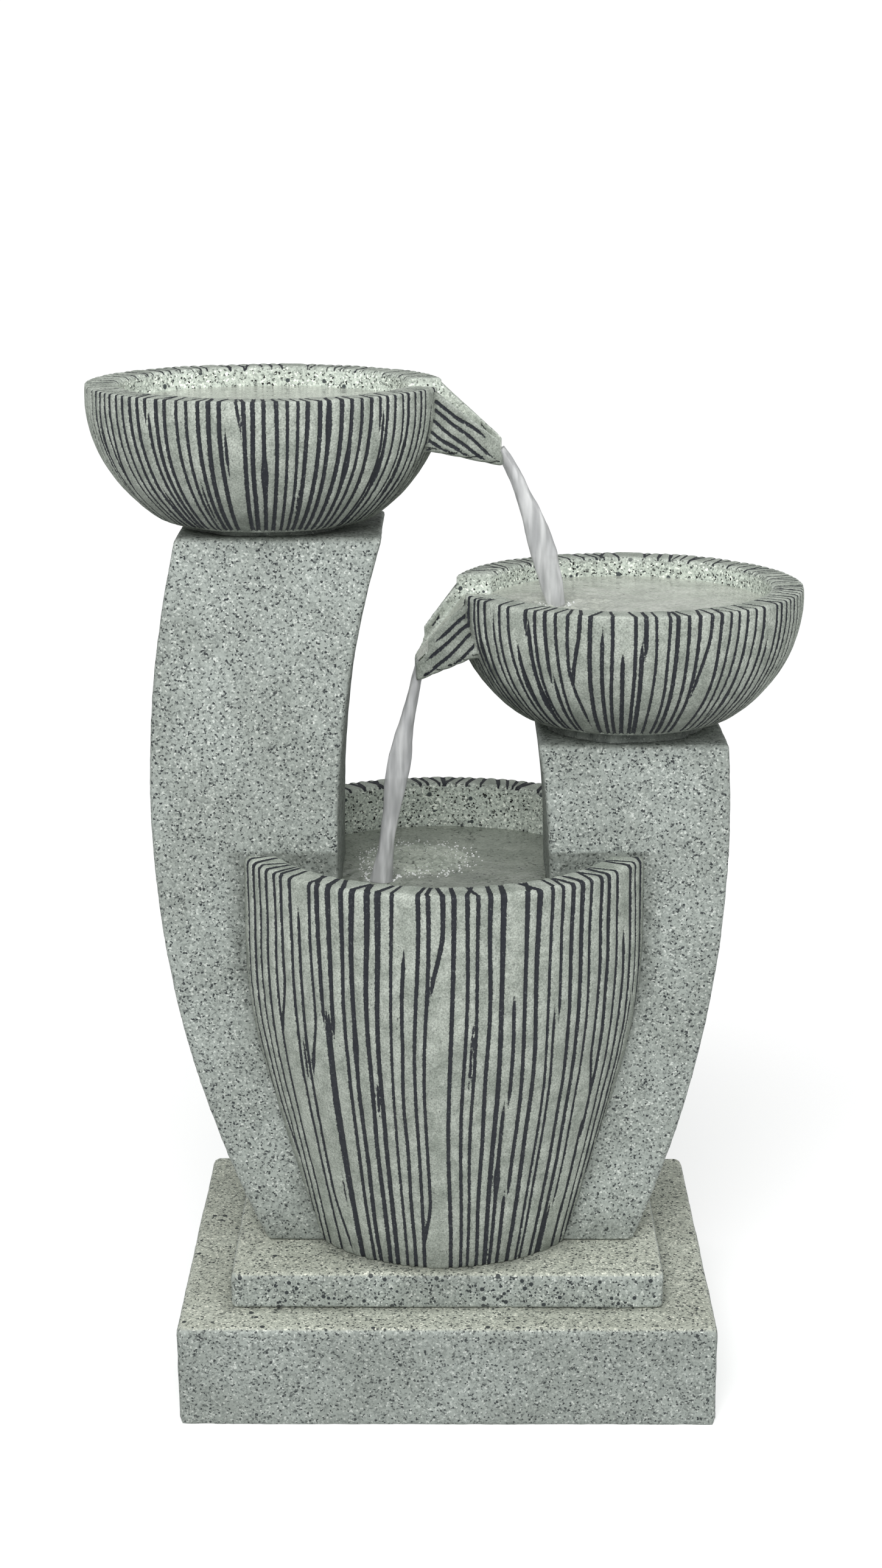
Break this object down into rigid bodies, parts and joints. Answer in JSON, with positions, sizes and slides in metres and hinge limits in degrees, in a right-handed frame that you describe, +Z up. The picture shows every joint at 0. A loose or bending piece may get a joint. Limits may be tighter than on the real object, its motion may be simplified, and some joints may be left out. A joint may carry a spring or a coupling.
{
  "type": "tiered water fountain",
  "caption": "Cast-stone cascade fountain: crescent pillars stand through a grooved pot and carry grooved bowls that pour down through spouts, fed by a pump and riser hose.",
  "frame": {"origin": "middle of the base slab's underside, on the floor", "axes": "+Z up; -Y is the front; +X to the right as seen from the front, from the tall pillar to the short one"},
  "size_m": [0.526, 0.324, 0.755],
  "materials": {
    "granite_chip_stone": "matte",
    "carved_stone": "matte",
    "mortar": "matte",
    "clear_hose": "satin",
    "clip_steel": "satin",
    "inlet_brass": "satin",
    "black_rubber": "matte",
    "pump_plastic": "satin",
    "dial_plastic": "gloss",
    "rotor_plastic": "satin",
    "core_steel": "matte",
    "coil_copper": "satin",
    "potting_resin": "gloss",
    "shaft_ceramic": "polished"
  },
  "bodies": {
    "fountain": {"base_slab": "granite_chip_stone", "base_step": "granite_chip_stone", "pot": "carved_stone", "tall_pillar": "granite_chip_stone", "short_pillar": "granite_chip_stone", "top_bowl": "carved_stone", "middle_bowl": "carved_stone", "top_bowl_bedding": "mortar", "middle_bowl_bedding": "mortar", "riser_hose": "clear_hose", "lower_hose_clip": "clip_steel", "upper_hose_clip": "clip_steel", "bowl_inlet": "inlet_brass", "bowl_inlet_nut": "inlet_brass", "bowl_inlet_washer": "black_rubber", "cable_grommet": "black_rubber", "pump_body": "pump_plastic", "pump_stator_core": "core_steel", "pump_coil": "coil_copper", "pump_potting": "potting_resin", "pump_seal": "black_rubber", "pump_chamber_cover": "pump_plastic", "pump_shaft": "shaft_ceramic", "pump_shaft_bushes": "black_rubber", "pump_outlet": "pump_plastic", "pump_suction_feet": "black_rubber", "pump_cable_gland": "pump_plastic"},
    "impeller": {"pump_rotor": "rotor_plastic"},
    "strainer": {"pump_strainer": "pump_plastic"},
    "flow_dial": {"pump_flow_dial": "dial_plastic"},
    "drain_plug": {"drain_plug": "black_rubber"}
  },
  "joints": [
    {"name": "rotor_spin", "type": "hinge", "parent": "fountain", "child": "impeller", "pos_m": [0.01, 0, 0.156], "axis": [0, 1, 0], "continuous": true},
    {"name": "strainer_pull", "type": "slide", "parent": "fountain", "child": "strainer", "axis": [0, -1, 0], "range_m": [0, 0.028]},
    {"name": "flow_dial_turn", "type": "hinge", "parent": "strainer", "child": "flow_dial", "pos_m": [0.01, -0.04, 0.156], "axis": [0, -1, 0], "range_deg": [0, 90]},
    {"name": "drain_plug_pull", "type": "slide", "parent": "fountain", "child": "drain_plug", "axis": [0, 1, 0], "range_m": [0, 0.035]}
  ]
}
